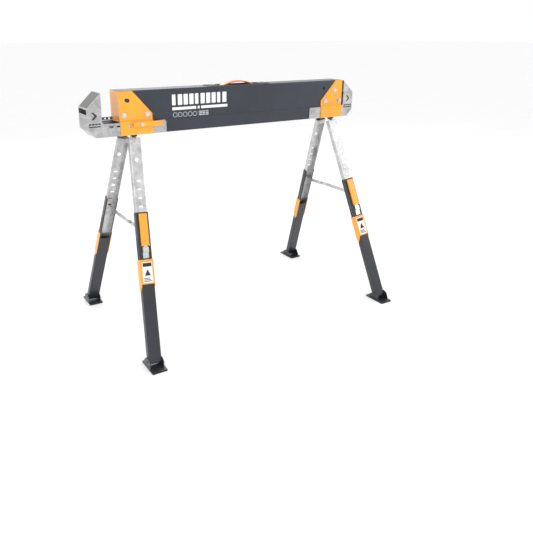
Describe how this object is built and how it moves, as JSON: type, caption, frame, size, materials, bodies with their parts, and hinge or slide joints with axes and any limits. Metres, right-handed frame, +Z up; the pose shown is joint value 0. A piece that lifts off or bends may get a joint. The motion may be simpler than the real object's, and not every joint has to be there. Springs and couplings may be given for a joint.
{
  "type": "folding sawhorse",
  "caption": "Folding metal sawhorse: box beam with splayed height-adjustable legs that fold into it, slide-out crossbar arms, lift-up stops and a carry handle in the top.",
  "frame": {"origin": "on the floor under the middle of the bounding box", "axes": "+X along the beam to the right end, +Y to the back, +Z up"},
  "size_m": [1.0453, 0.6358, 0.8263],
  "materials": {
    "orange_paint": "glossy orange powder coat",
    "dark_paint": "satin blue-black powder coat",
    "zinc": "satin galvanised sheet",
    "steel": "zinc-plated steel",
    "black_plastic": "moulded black plastic",
    "rubber": "black rubber"
  },
  "bodies": {
    "beam": {"beam_shell": "dark_paint", "end_bracket_left": "orange_paint", "end_bracket_right": "orange_paint", "bracket_bolts_left": "steel", "bracket_bolts_right": "steel", "hinge_frame_left": "steel", "hinge_frame_right": "steel", "handle_tray": "black_plastic", "tray_screws": "steel", "stop_rivets": "steel", "lever_bolts": "steel"},
    "handle": {"carry_handle": "orange_paint"},
    "arm_left": {"crossbar_arm_left": "zinc", "arm_pad_left": "black_plastic", "arm_rack_left": "zinc"},
    "arm_right": {"crossbar_arm_right": "zinc", "arm_pad_right": "black_plastic", "arm_rack_right": "zinc"},
    "lever_left": {"arm_lever_left": "orange_paint"},
    "lever_right": {"arm_lever_right": "orange_paint"},
    "stop_left": {"stock_stop_left": "orange_paint"},
    "stop_right": {"stock_stop_right": "orange_paint"},
    "knuckle_left_front": {"leg_knuckle_left_front": "steel"},
    "upper_leg_left_front": {"upper_leg_left_front": "zinc"},
    "lower_leg_left_front": {"lower_leg_left_front": "dark_paint", "latch_clip_left_front": "zinc", "leg_guard_left_front": "orange_paint"},
    "latch_left_front": {"height_latch_left_front": "orange_paint"},
    "foot_left_front": {"foot_shoe_left_front": "zinc", "foot_pad_left_front": "rubber"},
    "brace_left_front": {"brace_link_left_front": "zinc"},
    "knuckle_right_back": {"leg_knuckle_right_back": "steel"},
    "upper_leg_right_back": {"upper_leg_right_back": "zinc"},
    "lower_leg_right_back": {"lower_leg_right_back": "dark_paint", "latch_clip_right_back": "zinc", "leg_guard_right_back": "orange_paint"},
    "latch_right_back": {"height_latch_right_back": "orange_paint"},
    "foot_right_back": {"foot_shoe_right_back": "zinc", "foot_pad_right_back": "rubber"},
    "brace_right_back": {"brace_link_right_back": "zinc"},
    "knuckle_right_front": {"leg_knuckle_right_front": "steel"},
    "upper_leg_right_front": {"upper_leg_right_front": "zinc"},
    "lower_leg_right_front": {"lower_leg_right_front": "dark_paint", "latch_clip_right_front": "zinc", "leg_guard_right_front": "orange_paint"},
    "latch_right_front": {"height_latch_right_front": "orange_paint"},
    "foot_right_front": {"foot_shoe_right_front": "zinc", "foot_pad_right_front": "rubber"},
    "brace_right_front": {"brace_link_right_front": "zinc"},
    "knuckle_left_back": {"leg_knuckle_left_back": "steel"},
    "upper_leg_left_back": {"upper_leg_left_back": "zinc"},
    "lower_leg_left_back": {"lower_leg_left_back": "dark_paint", "latch_clip_left_back": "zinc", "leg_guard_left_back": "orange_paint"},
    "latch_left_back": {"height_latch_left_back": "orange_paint"},
    "foot_left_back": {"foot_shoe_left_back": "zinc", "foot_pad_left_back": "rubber"},
    "brace_left_back": {"brace_link_left_back": "zinc"}
  },
  "joints": [
    {"name": "handle_lift", "type": "slide", "parent": "beam", "child": "handle", "axis": [0, 0, 1], "range_m": [0, 0.009]},
    {"name": "arm_left_slide", "type": "slide", "parent": "beam", "child": "arm_left", "axis": [-1, 0, 0], "range_m": [-0.049, 0.035]},
    {"name": "arm_right_slide", "type": "slide", "parent": "beam", "child": "arm_right", "axis": [1, 0, 0], "range_m": [0, 0.085]},
    {"name": "lever_left_turn", "type": "hinge", "parent": "beam", "child": "lever_left", "pos_m": [-0.35248, -0.043, 0.71], "axis": [0, -1, 0], "range_deg": [0, 14]},
    {"name": "lever_right_turn", "type": "hinge", "parent": "beam", "child": "lever_right", "pos_m": [0.39152, 0.043, 0.71], "axis": [0, 1, 0], "range_deg": [0, 14]},
    {"name": "stop_left_slide", "type": "slide", "parent": "beam", "child": "stop_left", "axis": [0, 0, 1], "range_m": [0, 0.038]},
    {"name": "stop_right_slide", "type": "slide", "parent": "beam", "child": "stop_right", "axis": [0, 0, 1], "range_m": [0, 0.038]},
    {"name": "fold_left", "type": "hinge", "parent": "beam", "child": "knuckle_left_front", "pos_m": [-0.3978, -0.02634, 0.7138], "axis": [0.3142, -0.9493, 0], "range_deg": [0, 102.57]},
    {"name": "roll_left_front", "type": "hinge", "parent": "knuckle_left_front", "child": "upper_leg_left_front", "pos_m": [-0.36959, -0.017, 0.66696], "axis": [0.0974, 0.3633, 0.9266], "range_deg": [-0.01, 19.23]},
    {"name": "height_left_front", "type": "slide", "parent": "upper_leg_left_front", "child": "lower_leg_left_front", "axis": [0.0974, 0.3633, 0.9266], "range_m": [0, 0.108]},
    {"name": "latch_left_front", "type": "hinge", "parent": "lower_leg_left_front", "child": "latch_left_front", "pos_m": [-0.40245, -0.15482, 0.35427], "axis": [-0.9945, 0, 0.1045], "range_deg": [-12, 0], "stiffness_Nm_per_rad": 0.4, "springref_deg": 2.86},
    {"name": "foot_left_front_turn", "type": "hinge", "parent": "lower_leg_left_front", "child": "foot_left_front", "pos_m": [-0.43784, -0.27157, 0.0176], "axis": [-0.9945, 0, 0.1045], "range_deg": [-0.01, 111.31]},
    {"name": "brace_left_front_turn", "type": "hinge", "parent": "upper_leg_left_front", "child": "brace_left_front", "pos_m": [-0.39786, -0.1216, 0.39796], "axis": [0.9945, 0, -0.1045], "range_deg": [-0.01, 68.71]},
    {"name": "fold_right", "type": "hinge", "parent": "beam", "child": "knuckle_right_back", "pos_m": [0.43683, 0.02634, 0.7138], "axis": [-0.3142, 0.9493, 0], "range_deg": [0, 102.57]},
    {"name": "roll_right_back", "type": "hinge", "parent": "knuckle_right_back", "child": "upper_leg_right_back", "pos_m": [0.40862, 0.017, 0.66696], "axis": [-0.0974, -0.3633, 0.9266], "range_deg": [-0.01, 19.23]},
    {"name": "height_right_back", "type": "slide", "parent": "upper_leg_right_back", "child": "lower_leg_right_back", "axis": [-0.0974, -0.3633, 0.9266], "range_m": [0, 0.108]},
    {"name": "latch_right_back", "type": "hinge", "parent": "lower_leg_right_back", "child": "latch_right_back", "pos_m": [0.44148, 0.15482, 0.35427], "axis": [0.9945, 0, 0.1045], "range_deg": [-12, 0], "stiffness_Nm_per_rad": 0.4, "springref_deg": 2.86},
    {"name": "foot_right_back_turn", "type": "hinge", "parent": "lower_leg_right_back", "child": "foot_right_back", "pos_m": [0.47687, 0.27157, 0.0176], "axis": [0.9945, 0, 0.1045], "range_deg": [-0.01, 111.31]},
    {"name": "brace_right_back_turn", "type": "hinge", "parent": "upper_leg_right_back", "child": "brace_right_back", "pos_m": [0.43689, 0.1216, 0.39796], "axis": [-0.9945, 0, -0.1045], "range_deg": [-0.01, 68.71]},
    {"name": "fold_right_front", "type": "hinge", "parent": "beam", "child": "knuckle_right_front", "pos_m": [0.43762, -0.02111, 0.69015], "axis": [0.3142, 0.9493, 0], "range_deg": [-0.01, 102.58]},
    {"name": "roll_right_front", "type": "hinge", "parent": "knuckle_right_front", "child": "upper_leg_right_front", "pos_m": [0.42992, -0.01856, 0.66517], "axis": [0.0974, -0.3633, -0.9266], "range_deg": [-0.01, 19.23]},
    {"name": "height_right_front", "type": "slide", "parent": "upper_leg_right_front", "child": "lower_leg_right_front", "axis": [-0.0974, 0.3633, 0.9266], "range_m": [0, 0.108]},
    {"name": "latch_right_front", "type": "hinge", "parent": "lower_leg_right_front", "child": "latch_right_front", "pos_m": [0.46237, -0.15482, 0.35646], "axis": [-0.9945, 0, -0.1045], "range_deg": [-12, 0], "stiffness_Nm_per_rad": 0.4, "springref_deg": 2.86},
    {"name": "foot_right_front_turn", "type": "hinge", "parent": "lower_leg_right_front", "child": "foot_right_front", "pos_m": [0.49798, -0.27243, 0.0176], "axis": [-0.9945, 0, -0.1045], "range_deg": [-0.01, 111.31]},
    {"name": "brace_right_front_turn", "type": "hinge", "parent": "upper_leg_right_front", "child": "brace_right_front", "pos_m": [0.45778, -0.1216, 0.40015], "axis": [0.9945, 0, 0.1045], "range_deg": [-0.01, 68.71]},
    {"name": "fold_left_back", "type": "hinge", "parent": "beam", "child": "knuckle_left_back", "pos_m": [-0.39859, 0.02111, 0.69015], "axis": [-0.3142, -0.9493, 0], "range_deg": [-0.01, 102.58]},
    {"name": "roll_left_back", "type": "hinge", "parent": "knuckle_left_back", "child": "upper_leg_left_back", "pos_m": [-0.39089, 0.01856, 0.66517], "axis": [-0.0974, 0.3633, -0.9266], "range_deg": [-0.01, 19.23]},
    {"name": "height_left_back", "type": "slide", "parent": "upper_leg_left_back", "child": "lower_leg_left_back", "axis": [0.0974, -0.3633, 0.9266], "range_m": [0, 0.108]},
    {"name": "latch_left_back", "type": "hinge", "parent": "lower_leg_left_back", "child": "latch_left_back", "pos_m": [-0.42334, 0.15482, 0.35646], "axis": [0.9945, 0, -0.1045], "range_deg": [-12, 0], "stiffness_Nm_per_rad": 0.4, "springref_deg": 2.86},
    {"name": "foot_left_back_turn", "type": "hinge", "parent": "lower_leg_left_back", "child": "foot_left_back", "pos_m": [-0.45895, 0.27243, 0.0176], "axis": [0.9945, 0, -0.1045], "range_deg": [-0.01, 111.31]},
    {"name": "brace_left_back_turn", "type": "hinge", "parent": "upper_leg_left_back", "child": "brace_left_back", "pos_m": [-0.41875, 0.1216, 0.40015], "axis": [-0.9945, 0, 0.1045], "range_deg": [-0.01, 68.71]}
  ],
  "couplings": [
    {"joint": "roll_left_front", "follows": "fold_left", "ratio": 0.18739},
    {"joint": "foot_left_front_turn", "follows": "fold_left", "ratio": 1.0851},
    {"joint": "brace_left_front_turn", "follows": "fold_left", "ratio": 0.66979},
    {"joint": "roll_right_back", "follows": "fold_right", "ratio": 0.18739},
    {"joint": "foot_right_back_turn", "follows": "fold_right", "ratio": 1.0851},
    {"joint": "brace_right_back_turn", "follows": "fold_right", "ratio": 0.66979},
    {"joint": "fold_right_front", "follows": "fold_right", "ratio": 1},
    {"joint": "roll_right_front", "follows": "fold_right", "ratio": 0.18739},
    {"joint": "foot_right_front_turn", "follows": "fold_right", "ratio": 1.0851},
    {"joint": "brace_right_front_turn", "follows": "fold_right", "ratio": 0.66979},
    {"joint": "fold_left_back", "follows": "fold_left", "ratio": 1},
    {"joint": "roll_left_back", "follows": "fold_left", "ratio": 0.18739},
    {"joint": "foot_left_back_turn", "follows": "fold_left", "ratio": 1.0851},
    {"joint": "brace_left_back_turn", "follows": "fold_left", "ratio": 0.66979}
  ]
}
